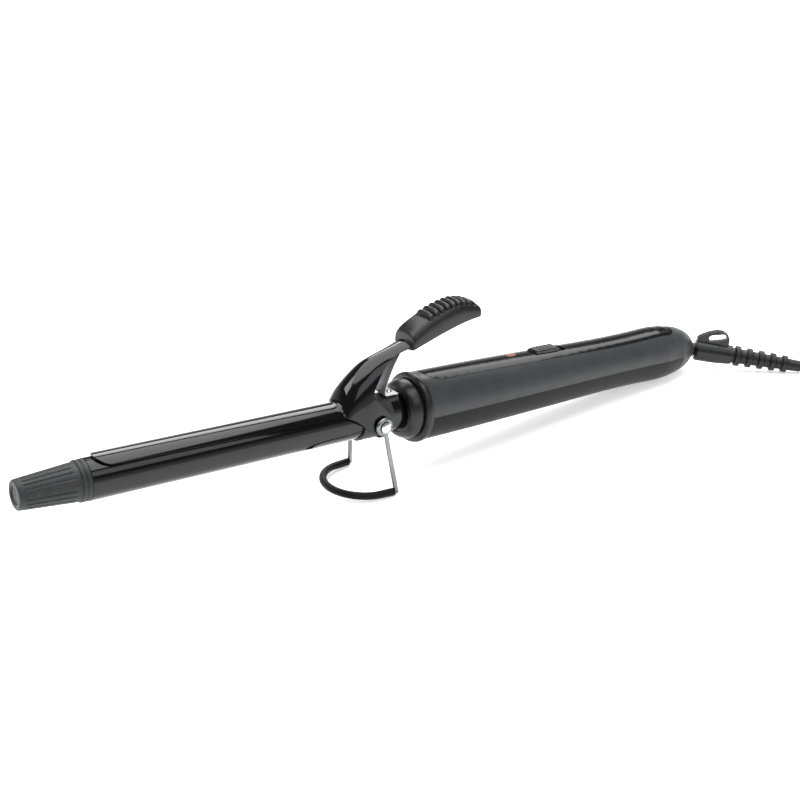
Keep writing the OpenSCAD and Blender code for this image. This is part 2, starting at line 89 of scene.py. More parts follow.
# Clip behind the spoon: edge (x, z), middle of the side (x, z), crest x
PRESSING = np.array([
    [-20, 5.52, -20, 7.3, -20], [-18.6, 5.3, -18.6, 7.5, -18.6], [-17.6, 4.9, -17.6, 8.2, -17.6],
    [-16, 4.3, -16, 9, -16], [-14, 3.5, -13.9, 9.6, -13.9], [-11.5, 2, -12, 9.9, -12],
    [-8.5, 0, -10.6, 10.1, -10.6], [-6.2, -1.6, -9.6, 10.2, -9.7], [-5, -2.55, -8.9, 10.3, -9.1],
    [-3.9, -3.65, -8.4, 10.4, -8.7], [-2.2, -4.85, -8, 10.6, -8.4], [0, -5.3, -7.6, 10.8, -8.1],
    [2.2, -4.85, -7.2, 11, -7.8], [4, -3.5, -6.9, 11.2, -7.5], [5.05, -1.6, -6.7, 11.4, -7.3],
    [5.3, 0.4, -6.5, 11.6, -7.1], [4.6, 2.6, -6.3, 11.8, -6.9], [2.9, 4.9, -6.15, 12, -6.7],
    [0.6, 7.3, -6, 12.2, -6.5], [-1.6, 9.4, -5.9, 12.5, -6.2], [-3.3, 11.2, -5.8, 12.9, -5.9],
    [-4.1, 12.7, -5.6, 13.6, -5.5], [-4, 14.4, -5.2, 15.3, -4.8], [-2.9, 16.4, -4.1, 17.5, -3.6],
    [-1, 18.8, -2.1, 19.9, -1.6], [2.1, 22.1, 1.2, 23, 1.5], [6.1, 25.3, 5.6, 26, 5.7],
    [10.8, 27.6, 10.6, 28.2, 10.6], [15.4, 29.2, 15.4, 29.7, 15.4], [18, 30, 18, 30.5, 18]])

# Thumb press: distance from the hinge, underside, edge and crown heights
THUMB_LINE = np.array([[16.6, 27.4, 31.8, 34.6], [19, 28.2, 33.4, 37], [23, 29.5, 35.6, 39.4],
                       [29, 31.5, 38.2, 42.2], [35, 33.4, 40.2, 44.1], [41, 35.2, 41.4, 45.1],
                       [46.5, 36.6, 41.4, 44.5], [51, 37.5, 40.8, 43.4], [54, 38, 40, 42.2]])

# Lead: points from under the hinge, from the strain relief to the folds, then from them to the plug
LEAD_ROUTE = np.array([[236.5, -42, 3.4], [243, -47.6, 2.9], [251, -51.6, 2.5], [261, -53.3, 2.5],
                       [274, -53, 2.5], [288, -51.2, 2.5], [302, -50, 2.5]]) + HOME
TAIL_ROUTE = np.array([[408, -50, 7.2], [416, -48.6, 6.4], [424, -45.4, 5.2], [432, -41.4, 5.1],
                       [440, -38.2, 6], [448, -36.8, 6.8]]) + HOME


# ---- Settings ----

def size(label, note, value, unit="LENGTH"):
    return FloatProperty(name=label, description=note, default=value, unit=unit)


def colour(label, note, value):
    return FloatVectorProperty(name=label, description=note, default=value, subtype="COLOR",
                               size=3, min=0, max=1)


class IronSizes(bpy.types.PropertyGroup):
    barrel_radius: size("Barrel radius", "Outside radius of the barrel", 8 * MM)
    barrel_wall: size("Barrel wall", "Wall of the barrel tube", 0.8 * MM)
    clip_sheet: size("Clip sheet", "Sheet thickness of the clip", 0.9 * MM)
    flute_depth: size("Flute depth", "Depth of the flutes on the cool tip", 0.35 * MM)
    rib_height: size("Rib height", "Height of the grip ribs of the thumb press", 1.4 * MM)
    cord_radius: size("Cord radius", "Radius of the lead", 2.4 * MM)
    fold_radius: size("Fold radius", "Radius of the innermost fold of the lead", 15 * MM)
    run_length: size("Run length", "Straight run of the folded lead", 96 * MM)


class IronColours(bpy.types.PropertyGroup):
    gloss_black: colour("Gloss black", "Lacquer of the barrel and the clip", (0.002, 0.002, 0.0024))
    tip_grey: colour("Tip grey", "Cool tip and its ring", (0.016, 0.0165, 0.0175))
    # Painted light: the upper shell gets a lighter grey than the lower shell's black, standing in
    # for the light from above; both halves are the same black plastic
    handle_upper_lit: colour("Upper shell", "Upper half of the handle", (0.034, 0.0345, 0.036))
    handle_lower: colour("Lower shell", "Lower half of the handle", (0.006, 0.006, 0.0065))
    rubber_black: colour("Rubber black", "Lead, strain relief and plug", (0.003, 0.003, 0.0035))
    steel: colour("Steel", "Wire, pins and spring", (0.19, 0.193, 0.197))


class IronStage(bpy.types.PropertyGroup):
    azimuth: FloatProperty(name="Azimuth", description="Turn of the camera about the iron",
                           default=radians(-36.94), subtype="ANGLE")
    elevation: FloatProperty(name="Elevation", description="Camera angle above the table",
                             default=radians(25.42), subtype="ANGLE")
    roll: FloatProperty(name="Roll", description="Turn of the camera about its own line of sight",
                        default=radians(-0.36), subtype="ANGLE")
    distance: size("Distance", "From the camera to the point it looks at", 0.5252)
    aim_x: size("Aim along", "Point looked at, along the iron", 0.0171)
    aim_z: size("Aim height", "Point looked at, above the table", 0.0328)
    lens: FloatProperty(name="Lens", description="Focal length, in millimetres", default=56.23)
    over_power: FloatProperty(name="Overhead light", description="Strength of the wide light "
                              "above", default=4.6)
    back_power: FloatProperty(name="Back light", description="Power of the softbox behind",
                              default=7, unit="POWER")
    left_power: FloatProperty(name="Left light", description="Power of the softbox at the tip's "
                              "end", default=5, unit="POWER")
    front_power: FloatProperty(name="Front light", description="Power of the softbox in front",
                               default=4, unit="POWER")
    floor_glow: FloatProperty(name="Floor glow", description="Light given off by the pale floor, "
                              "which softens the shadows", default=0.5)
    sky: FloatProperty(name="Surroundings", description="Brightness of the surroundings overhead",
                       default=0.15)


# ---- Shapes ----

def through(stations, x):
    """Cubic line through the stations at x: each column is a Hermite cubic between neighbours,
    with the slope at a station taken from the stations on either side of it."""
    s, x = np.asarray(stations, float), np.asarray(x, float)
    low, high = np.maximum(np.arange(len(s)) - 1, 0), np.minimum(np.arange(len(s)) + 1, len(s) - 1)
    slope = (s[high] - s[low]) / (s[high, :1] - s[low, :1])
    i = np.clip(np.searchsorted(s[:, 0], x, side="right") - 1, 0, len(s) - 2)
    h = (s[i + 1, 0] - s[i, 0])[..., None]
    t = np.clip((x - s[i, 0])[..., None] / h, 0, 1)
    return ((2 * t**3 - 3 * t**2 + 1) * s[i] + (t**3 - 2 * t**2 + t) * h * slope[i]
            + (3 * t**2 - 2 * t**3) * s[i + 1] + (t**3 - t**2) * h * slope[i + 1])


def flow(points, per):
    """Smooth line through the points: a Catmull-Rom cubic with per steps between neighbours."""
    p = np.asarray(points, float)
    a, b = p[np.maximum(np.arange(len(p) - 1) - 1, 0)], p[:-1]
    c, d = p[1:], p[np.minimum(np.arange(len(p) - 1) + 2, len(p) - 1)]
    t = (np.arange(per) / per)[None, :, None]
    a, b, c, d = (v[:, None, :] for v in (a, b, c, d))
    q = 0.5 * (2 * b + (c - a) * t + (2 * a - 5 * b + 4 * c - d) * t**2
               + (3 * b - a - 3 * c + d) * t**3)
    return np.concatenate([q.reshape(-1, p.shape[1]), p[-1:]])


def ease(t):
    """Smooth step from 0 to 1: 3t squared minus 2t cubed, held outside 0 to 1."""
    t = np.clip(t, 0, 1)
    return t * t * (3 - 2 * t)


def rounded(profile, radius, steps=4, closed=False):
    """Profile with its corners eased: each corner becomes a quadratic curve between points at
    most radius, and at most 0.45 of the side, away from it."""
    p = np.asarray(profile, float)
    before, after = np.roll(p, 1, 0), np.roll(p, -1, 0)
    to_a, to_b = before - p, after - p
    la, lb = (np.maximum(np.linalg.norm(v, axis=1, keepdims=True), 1e-9) for v in (to_a, to_b))
    a = p + to_a / la * np.minimum(radius, 0.45 * la)
    b = p + to_b / lb * np.minimum(radius, 0.45 * lb)
    t = np.linspace(0, 1, steps + 1)[None, :, None]
    q = (1 - t)**2 * a[:, None] + 2 * t * (1 - t) * p[:, None] + t**2 * b[:, None]
    if closed:
        return q.reshape(-1, p.shape[1])
    return np.concatenate([p[:1], q[1:-1].reshape(-1, p.shape[1]), p[-1:]])


def in_iron(p):
    """Iron points to table points: turned by the tilt about y, then lifted to the hinge."""
    c, s = np.cos(TILT), np.sin(TILT)
    x, y, z = p[..., 0], p[..., 1], p[..., 2]
    return np.stack([x * c + z * s, y, z * c - x * s], -1) + HINGE


def in_swivel(p):
    """Points with x along the swivel's axis from its ball, to table points."""
    side = np.cross([0, 0, 1], SWIVEL)
    side /= np.linalg.norm(side)
    axes = np.stack([SWIVEL, side, np.cross(SWIVEL, side)])
    return p @ axes + BALL


def sheet_faces(rows, columns, closed_rows=False, closed_columns=False):
    """Four-cornered faces of a grid of rows by columns points, closed either way if asked."""
    i, j = np.meshgrid(np.arange(rows - (not closed_rows)),
                       np.arange(columns - (not closed_columns)), indexing="ij")
    k, m = (i + 1) % rows, (j + 1) % columns
    return np.stack([i * columns + j, k * columns + j, k * columns + m, i * columns + m],
                    -1).reshape(-1, 4)


def turned(profile, around=96, closed=False):
    """Surface of revolution: the point at angle a of a profile point (x, r) is
    (x, r sin a, r cos a)."""
    p = np.asarray(profile, float)
    a = np.linspace(0, 2 * np.pi, around, endpoint=False)
    x, r = np.meshgrid(p[:, 0], a, indexing="ij")[0], p[:, 1:2]
    return (np.stack([x, r * np.sin(a), r * np.cos(a)], -1).reshape(-1, 3),
            sheet_faces(len(p), around, closed, True))


def swept(path, radius, around=16):
    """Tube: circles of the radius across the path, with their sides level, closed at both ends by
    three shrinking circles."""
    d = np.gradient(path, axis=0)
    d /= np.linalg.norm(d, axis=1, keepdims=True)
    side = np.cross(d, [0, 0, 1.0])
    side /= np.linalg.norm(side, axis=1, keepdims=True)
    up = np.cross(side, d)
    a = np.linspace(0, 2 * np.pi, around, endpoint=False)[None, :, None]
    rim = np.cos(a) * side[:, None] + np.sin(a) * up[:, None]
    caps = np.array([0, 0.6, 0.92])[:, None, None]
    start = path[0] + caps * radius * rim[0]
    end = path[-1] + caps[::-1] * radius * rim[-1]
    points = np.concatenate([start, path[:, None] + radius * rim, end])
    return points.reshape(-1, 3), sheet_faces(len(points), around, False, True)


def add_piece(name, shape, finish, body, replaced=(), sheet=0.0, edge=0.0, sharp=34):
    """Puts (points, faces) in a mesh object and gives it its finish and its body. Doubles are
    merged, closed shapes face outwards, and a sheet gets its wall and its eased edges."""
    points, faces = shape
    mesh = bpy.data.meshes.new(name)
    mesh.from_pydata((points * MM).tolist(), [], faces.tolist())
    work = bmesh.new()
    work.from_mesh(mesh)
    bmesh.ops.remove_doubles(work, verts=work.verts, dist=2e-6)
    bmesh.ops.dissolve_degenerate(work, edges=work.edges, dist=1e-6)
    if not sheet:
        bmesh.ops.recalc_face_normals(work, faces=work.faces)
    work.to_mesh(mesh)
    work.free()
    mesh.shade_smooth()
    mesh.set_sharp_from_angle(angle=radians(sharp))
    mesh.materials.append(finish)
    piece = bpy.data.objects.new(name, mesh)
    bpy.context.scene.collection.objects.link(piece)
    if sheet:
        wall = piece.modifiers.new("Wall", "SOLIDIFY")
        wall.thickness, wall.offset = sheet, -1
        wall.use_even_offset = True
    if edge:
        bevel = piece.modifiers.new("Edge", "BEVEL")
        bevel.width, bevel.segments, bevel.limit_method = edge, 2, "ANGLE"
        bevel.angle_limit = radians(50)
    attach(piece, body)
    if replaced:
        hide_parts(*replaced)
    return piece


# ---- Finishes ----

def finish(name, base, rough, metal=0.0, cell=2.0, shift=0.25, rough_shift=0.06, bump=0.02,
           grain=0.25, stretch=(1, 1, 1), coat=0.0, coat_rough=0.05, specular=0.5):
    """Material with a slow colour change of the given cell size, a finer change of roughness, and
    a fine grain in its bump, all from noise on Object coordinates."""
    found = bpy.data.materials.get(name)
    if found:
        return found
    made = bpy.data.materials.new(name)
    made.use_nodes = True
    nodes, link = made.node_tree.nodes, made.node_tree.links.new
    shader = nodes["Principled BSDF"]
    where = nodes.new("ShaderNodeTexCoord")
    place = nodes.new("ShaderNodeMapping")
    place.inputs["Scale"].default_value = stretch
    link(where.outputs["Object"], place.inputs["Vector"])

    def noise(feature, detail):
        n = nodes.new("ShaderNodeTexNoise")
        n.inputs["Scale"].default_value = 1 / (feature * MM)
        n.inputs["Detail"].default_value = detail
        link(place.outputs["Vector"], n.inputs["Vector"])
        return n.outputs["Fac"]

    slow, fine = noise(cell, 4), noise(grain, 3)
    tone = nodes.new("ShaderNodeValToRGB")
    tone.color_ramp.elements[0].position, tone.color_ramp.elements[1].position = 0.3, 0.7
    tone.color_ramp.elements[0].color = [c * (1 - shift) for c in base] + [1]
    tone.color_ramp.elements[1].color = [min(1, c * (1 + shift)) for c in base] + [1]
    link(slow, tone.inputs["Fac"])
    link(tone.outputs["Color"], shader.inputs["Base Color"])
    dull = nodes.new("ShaderNodeMapRange")
    dull.inputs["From Min"].default_value, dull.inputs["From Max"].default_value = 0.3, 0.7
    dull.inputs["To Min"].default_value = max(0.02, rough - rough_shift)
    dull.inputs["To Max"].default_value = min(1, rough + rough_shift)
    link(noise(cell * 0.4, 5), dull.inputs["Value"])
    link(dull.outputs["Result"], shader.inputs["Roughness"])
    if bump:
        raise_up = nodes.new("ShaderNodeBump")
        raise_up.inputs["Strength"].default_value = 1
        raise_up.inputs["Distance"].default_value = bump * MM
        link(fine, raise_up.inputs["Height"])
        link(raise_up.outputs["Normal"], shader.inputs["Normal"])
    shader.inputs["Metallic"].default_value = metal
    shader.inputs["Coat Weight"].default_value = coat
    shader.inputs["Coat Roughness"].default_value = coat_rough
    shader.inputs["Specular IOR Level"].default_value = specular
    return made


def finishes(c):
    """Every finish of the iron by name."""
    return {
        "lacquer": finish("Gloss lacquer", c.gloss_black, 0.09, cell=9, bump=0.0015, grain=1.5,
                          rough_shift=0.02, specular=0.35),
        "tip": finish("Tip plastic", c.tip_grey, 0.5, cell=3, bump=0.02, grain=0.35, specular=0.3),
        "thumb": finish("Grip plastic", (0.005, 0.005, 0.0055), 0.36, cell=2.5, bump=0.015,
                        grain=0.3, specular=0.35),
        # Painted light: the upper shell's lighter colour stands in for the light from above; the
        # lower shell keeps the handle's own black
        "upper": finish("Upper shell", c.handle_upper_lit, 0.32, cell=9, shift=0.1, bump=0.0012,
                        grain=0.6, rough_shift=0.02, specular=0.25),
        "lower": finish("Lower shell", c.handle_lower, 0.32, cell=9, shift=0.1, bump=0.0012,
                        grain=0.6, rough_shift=0.02, specular=0.1),
        "collar": finish("Collar plastic", (0.005, 0.005, 0.0055), 0.33, cell=4, bump=0.008,
                         grain=0.4, specular=0.35),
        "panel": finish("Panel gloss", (0.005, 0.005, 0.0055), 0.14, cell=8, bump=0.001, grain=1.2,
                        rough_shift=0.02, specular=0.1),
        "button": finish("Switch plastic", (0.01, 0.01, 0.011), 0.3, cell=2, bump=0.01, grain=0.3),
        "steel": finish("Drawn steel", c.steel, 0.3, 1.0, cell=2.5, shift=0.12, bump=0.004,
                        grain=0.2, stretch=(1, 1, 0.2)),
        "bright": finish("Bright pin", (0.6, 0.6, 0.61), 0.2, 1.0, cell=1.5, shift=0.08,
                         bump=0.004, grain=0.25),
        "sleeve": finish("Heat sleeve", (0.002, 0.002, 0.002), 0.5, cell=1.2, bump=0.02, grain=0.3,
                         specular=0.15),
        "spring": finish("Spring steel", (0.36, 0.36, 0.37), 0.42, 0.6, cell=3, shift=0.12,
                         bump=0.003, grain=0.3, stretch=(1, 0.2, 1)),
        "aluminium": finish("Aluminium", (0.68, 0.69, 0.7), 0.35, 1.0, cell=3, shift=0.1,
                            stretch=(0.2, 1, 1)),
        "ceramic": finish("Ceramic", (0.6, 0.57, 0.5), 0.6, cell=2, shift=0.1, bump=0.03),
        "film": finish("Amber film", (0.55, 0.27, 0.05), 0.2, cell=3, shift=0.15),
        "wire": finish("Wire jacket", (0.4, 0.05, 0.035), 0.4, cell=2),
        "lens": finish("Indicator lens", (0.2, 0.085, 0.05), 0.2, cell=1, shift=0.2, bump=0.004,
                       coat=0.6),
        "board": finish("Circuit board", (0.03, 0.12, 0.05), 0.45, cell=3),
        "inner": finish("Inner black", (0.012, 0.012, 0.012), 0.5, cell=2, bump=0.02),
        "screw": finish("Screw steel", (0.4, 0.4, 0.41), 0.3, 1.0, cell=1.5, shift=0.1),
        "swivel": finish("Swivel plastic", (0.004, 0.004, 0.0045), 0.32, cell=3, bump=0.01,
                         grain=0.35, specular=0.35),
        "rubber": finish("Lead rubber", c.rubber_black, 0.42, cell=2, bump=0.015, grain=0.3,
                         specular=0.3),
        "tie": finish("Tie band", (0.008, 0.008, 0.008), 0.7, cell=1, bump=0.08, grain=0.4),
        "metal": finish("Plug metal", (0.75, 0.75, 0.76), 0.12, 1.0, cell=3, shift=0.05,
                        bump=0.001),
    }


# The finish of each node that keeps its own shape
NODE_FINISH = {
    "heat_spreader_upper": "aluminium", "heat_spreader_lower": "aluminium",
    "ptc_heater": "ceramic", "insulating_sheets": "film", "thermal_fuse": "ceramic",
    "heater_wires": "wire", "hinge_saddle": "inner", "hinge_pins": "bright",
    "spring_rivet": "bright", "barrel_bushing": "ceramic",
    "handle_upper_shell": "upper", "handle_lower_shell": "lower", "top_panel": "panel",
    "switch_housing": "inner", "indicator_lens": "lens", "indicator_lamp": "lens",
    "circuit_board": "board", "shell_screws": "screw", "wire_stand": "steel",
    "stand_sleeve": "sleeve", "switch_slider": "button", "swivel_ball": "swivel",
    "cord_connector": "swivel", "plug_pins": "metal",
}


class OneStep(bpy.types.Operator):
    """Shared settings of the iron's build steps"""
    bl_idname = "iron.one_step"
    bl_label = "Build step"

    def parts(self, context):
        scene = context.scene
        return scene.iron_sizes, finishes(scene.iron_colours)


class IRON_OT_stage(bpy.types.Operator):
    """Camera, pale floor and soft lights"""
    bl_idname = "iron.stage"
    bl_label = "Stage"

    def execute(self, context):
        s = context.scene.iron_stage
        scene = context.scene
        back = np.array([np.sin(s.azimuth) * np.cos(s.elevation),
                         -np.cos(s.azimuth) * np.cos(s.elevation), np.sin(s.elevation)])
        home = HOME * MM
        aim = home + [s.aim_x, 0, s.aim_z]
        lens = bpy.data.cameras.new("Camera")
        lens.lens, lens.sensor_width = s.lens, 36
        lens.clip_start, lens.clip_end = 0.01, 50
        camera = bpy.data.objects.new("Camera", lens)
        camera.location = aim + back * s.distance
        level = Vector(-back).to_track_quat("-Z", "Y")
        camera.rotation_euler = (level @ Quaternion((0, 0, 1), s.roll)).to_euler()
        scene.collection.objects.link(camera)
        scene.camera = camera

        # Floor: a flat grid, a hair under the table's height
        half, lines, under = 4.0, 9, -0.00005
        step = np.linspace(-half, half, lines)
        x, y = np.meshgrid(step, step, indexing="ij")
        ground = bpy.data.meshes.new("Floor")
        points = np.stack([x, y, np.full_like(x, under)], -1).reshape(-1, 3)
        ground.from_pydata(points.tolist(), [], sheet_faces(lines, lines).tolist())
        floor = bpy.data.objects.new("Floor", ground)
        pale = finish("Pale floor", (0.86, 0.86, 0.86), 0.6, cell=120, shift=0.01, bump=0,
                      specular=0.1)
        shader = pale.node_tree.nodes["Principled BSDF"]
        shader.inputs["Emission Color"].default_value = (1, 1, 1, 1)
        shader.inputs["Emission Strength"].default_value = s.floor_glow
        ground.materials.append(pale)
        scene.collection.objects.link(floor)

        # Lights, by their places from the hinge: a wide one overhead and three softboxes
        def lamp(name, kind, place, energy):
            light = bpy.data.lights.new(name, kind)
            light.energy = energy
            one = bpy.data.objects.new(name, light)
            one.location = Vector(home) + Vector(place)
            one.rotation_euler = (-Vector(place)).to_track_quat("-Z", "Y").to_euler()
            scene.collection.objects.link(one)
            return light

        over = lamp("Overhead", "SUN", (0.1, 0.2, 1.5), s.over_power)
        over.angle = radians(70)
        for name, place, energy, wide, deep in (
                ("Back", (0.64, 0.56, 0.66), s.back_power, 1.0, 0.32),
                ("Left", (-0.66, 0.38, 0.8), s.left_power, 0.5, 0.4),
                ("Front", (0.1, -0.9, 0.9), s.front_power, 1.2, 0.5)):
            light = lamp(name, "AREA", place, energy)
            light.shape, light.size, light.size_y = "RECTANGLE", wide, deep
        # Surroundings: white at the horizon, dim overhead, by the height of the direction
        sky = bpy.data.worlds.new("Surroundings")
        sky.use_nodes = True
        glow = sky.node_tree.nodes["Background"]
        glow.inputs["Color"].default_value = (1, 1, 1, 1)
        where = sky.node_tree.nodes.new("ShaderNodeTexCoord")
        split = sky.node_tree.nodes.new("ShaderNodeSeparateXYZ")
        fall = sky.node_tree.nodes.new("ShaderNodeMapRange")
        fall.inputs["From Min"].default_value, fall.inputs["From Max"].default_value = 0.1, 0.35
        fall.inputs["To Min"].default_value, fall.inputs["To Max"].default_value = 1, s.sky
        sky.node_tree.links.new(where.outputs["Generated"], split.inputs["Vector"])
        sky.node_tree.links.new(split.outputs["Z"], fall.inputs["Value"])
        sky.node_tree.links.new(fall.outputs["Result"], glow.inputs["Strength"])
        scene.world = sky
        scene.view_settings.view_transform = "Standard"
        return {"FINISHED"}


def fold_path(sizes):
    """Line of the lead: the route to the folds, five and a half laps of a long loop whose radius
    goes 25, 20, 15 in the lower layer and 15, 20, 25 in the upper one, and the route to the plug.
    A lap's shift to its next radius or layer is an eased step on its far run."""
    inner, run = sizes.fold_radius / MM, sizes.run_length / MM
    pitch, low = 5.0, LEAD_ROUTE[-1, 2]
    high = low + 2 * sizes.cord_radius / MM
    start = np.array([HOME[0] + 310, LEAD_ROUTE[-1, 1] + inner + 2 * pitch])
    t = np.arange(26)[:, None] / 26

    def lap(r0, r1, z0, z1, begin, end):
        turn = np.pi * t - np.pi / 2
        move = ease((t - begin) / (end - begin))
        r, z = r0 + (r1 - r0) * move, z0 + (z1 - z0) * move
        near = np.hstack([start[0] + run * t, start[1] - r0 + 0 * t, z0 + 0 * t])
        east = np.hstack([start[0] + run + r0 * np.cos(turn), start[1] + r0 * np.sin(turn),
                          z0 + 0 * t])
        far = np.hstack([start[0] + run * (1 - t), start[1] + r, z])
        west = np.hstack([start[0] - r1 * np.cos(turn), start[1] - r1 * np.sin(turn), z1 + 0 * t])
        return np.concatenate([near, east, far, west])

    radii = inner + pitch * np.array([2, 1, 0, 0, 1, 2])
    laps = [lap(radii[0], radii[1], low, low, 0.63, 0.98),
            lap(radii[1], radii[2], low, low, 0.63, 0.98),
            lap(radii[2], radii[3], low, high, 0.21, 0.58),
            lap(radii[3], radii[4], high, high, 0, 0.28),
            lap(radii[4], radii[5], high, high, 0, 0.28)]
    last = np.hstack([start[0] + run * t, start[1] - radii[5] + 0 * t, high + 0 * t])
    return np.concatenate([flow(LEAD_ROUTE, 8), *laps, last, flow(TAIL_ROUTE, 6)])


class IRON_OT_lead(OneStep):
    """Lead folded into a hank, its tie and its plug"""
    bl_idname = "iron.lead"
    bl_label = "Lead"

    def execute(self, context):
        sizes, paint = self.parts(context)
        path = fold_path(sizes)
        radius = sizes.cord_radius / MM
        lead = add_piece("lead", swept(path, radius), paint["rubber"], BODY,
                         ("cord_lead", "cord_hank", "cord_tail"))

        # Tie: a thin band round the near run of all six turns, a rounded box in section
        low, high = np.array(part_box("cord_tie")[0]) / MM, np.array(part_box("cord_tie")[1]) / MM
        mid, half = (low + high) / 2, (high - low) / 2
        a = np.linspace(0, 2 * np.pi, 72, endpoint=False)
        bow = lambda v: np.sign(v) * np.abs(v)**0.45
        loop = np.stack([half[1] * bow(np.cos(a)), half[2] * bow(np.sin(a))], -1)
        across = rounded([[-1, 0], [1, 0], [1, -0.75], [-1, -0.75]], 0.3, 3, True)
        ring = np.stack([
            mid[0] + half[0] * across[:, :1] + 0 * a,
            mid[1] + loop[:, 0] * (1 + across[:, 1:] / half[1]),
            mid[2] + loop[:, 1] * (1 + across[:, 1:] / half[2])], -1)
        tie = add_piece("lead_tie", (ring.reshape(-1, 3), sheet_faces(len(across), 72, True, True)),
                        paint["tie"], BODY, ("cord_tie",))

        # Plug: rounded boxes along x, from the ribbed sleeve to the flat face that holds the pins
        low, high = np.array(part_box("plug_body")[0]) / MM, np.array(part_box("plug_body")[1]) / MM
        mid = (low + high) / 2
        x0, x1 = low[0], high[0]
        body_start = x0 + 14
        sleeve = np.linspace(x0, body_start - 0.5, 43)
        grip = 0.55 * np.cos(2 * np.pi * (sleeve - x0) / 3.4)**2
        line = np.array([[body_start, 4.6, 4.4, 1], [body_start + 1.5, 7, 5.6, 0.85],
                         [body_start + 4, 12.5, 6.5, 0.6], [body_start + 7.5, 17.2, 6.8, 0.5],
                         [body_start + 13, 17.5, 6.8, 0.45], [body_start + 18.5, 17.2, 6.8, 0.45],
                         [x1 - 0.8, 14.2, 6.7, 0.45], [x1, 13.4, 6.1, 0.45]])
        rows = through(line, np.linspace(body_start, x1, 70))
        stem = np.stack([sleeve, 3.5 + grip, 3.5 + grip, np.ones_like(sleeve)], -1)
        rows = np.concatenate([[[x0, 0, 0, 1]], stem, rows, [[x1, 7, 3, 0.5], [x1, 0, 0, 0.5]]])
        a = np.linspace(0, 2 * np.pi, 80, endpoint=False)
        c, s = np.cos(a), np.sin(a)
        power = rows[:, 3:]
        shape = np.stack([rows[:, :1] + 0 * a,
                          mid[1] + rows[:, 1:2] * np.sign(c) * np.abs(c)**power,
                          mid[2] + rows[:, 2:3] * np.sign(s) * np.abs(s)**power], -1)
        plug = add_piece("plug", (shape.reshape(-1, 3), sheet_faces(len(rows), 80, False, True)),
                         paint["rubber"], BODY, ("plug_body",))
        return {"FINISHED"}


class IRON_OT_barrel(OneStep):
    """Barrel tube, fluted cool tip and its ring"""
    bl_idname = "iron.barrel"
    bl_label = "Barrel"

    def execute(self, context):
        sizes, paint = self.parts(context)
        r, bore = sizes.barrel_radius / MM, (sizes.barrel_radius - sizes.barrel_wall) / MM
        front, back, ring = -124.1, 34, -127.7
        wall = rounded([[front, bore], [front, r], [back, r], [back, bore]], 0.15, 3, True)
        points, faces = turned(wall, 160, True)
        add_piece("barrel", (in_iron(points), faces), paint["lacquer"], BODY,
                  ("barrel_tube",))
        band = rounded([[ring + 0.02, bore + 0.05], [ring + 0.02, 7.45], [ring + 0.3, 7.8],
                        [ring + 1.3, 7.8], [ring + 1.5, 7.45], [ring + 1.9, 7.45],
                        [ring + 2.1, 7.8], [front - 0.02, 7.8], [front - 0.02, bore + 0.05]],
                       0.12, 3, True)
        points, faces = turned(band, 128, True)
        add_piece("tip_band", (in_iron(points), faces), paint["tip"], BODY,
                  ("tip_ring",))

        # Cool tip: a cone with a dished end; its radius drops by the flute depth, times a rounded
        # wave of twenty flutes, over the middle of its length
        nose = -150.0
        line = rounded([[nose + 0.6, 0], [nose + 0.6, 3.4], [nose, 3.6], [nose, 5.2],
                        [nose + 0.5, 5.65], [ring - 0.6, 7.35], [ring, 7.35], [ring, 7.1],
                        [front + 6, 7.1],
                        [front + 6, 0]], 0.35, 4)
        x = np.linspace(nose + 1.2, ring - 0.8, 90)
        cut = int(np.argmax(line[:, 0] > nose + 1.1))
        rest = int(np.argmax(line[:, 0] > ring - 0.75))
        cone = np.stack([x, np.interp(x, line[[cut - 1, rest], 0], line[[cut - 1, rest], 1])], -1)
        line = np.concatenate([line[:cut], cone, line[rest:]])
        a = np.linspace(0, 2 * np.pi, 400, endpoint=False)
        window = ease((line[:, :1] - nose - 1.6) / 1.5) * ease((ring - 1.4 - line[:, :1]) / 1.5)
        wave = np.clip(np.cos(20 * a), -0.2, 1) / 1.2 + 0.2 / 1.2
        radius = line[:, 1:] - sizes.flute_depth / MM * window * wave**1.5
        points = np.stack([line[:, :1] + 0 * a, radius * np.sin(a), radius * np.cos(a)], -1)
        add_piece("tip", (in_iron(points).reshape(-1, 3), sheet_faces(len(line), 400, False, True)),
                  paint["tip"], BODY, ("cool_tip",))
        return {"FINISHED"}


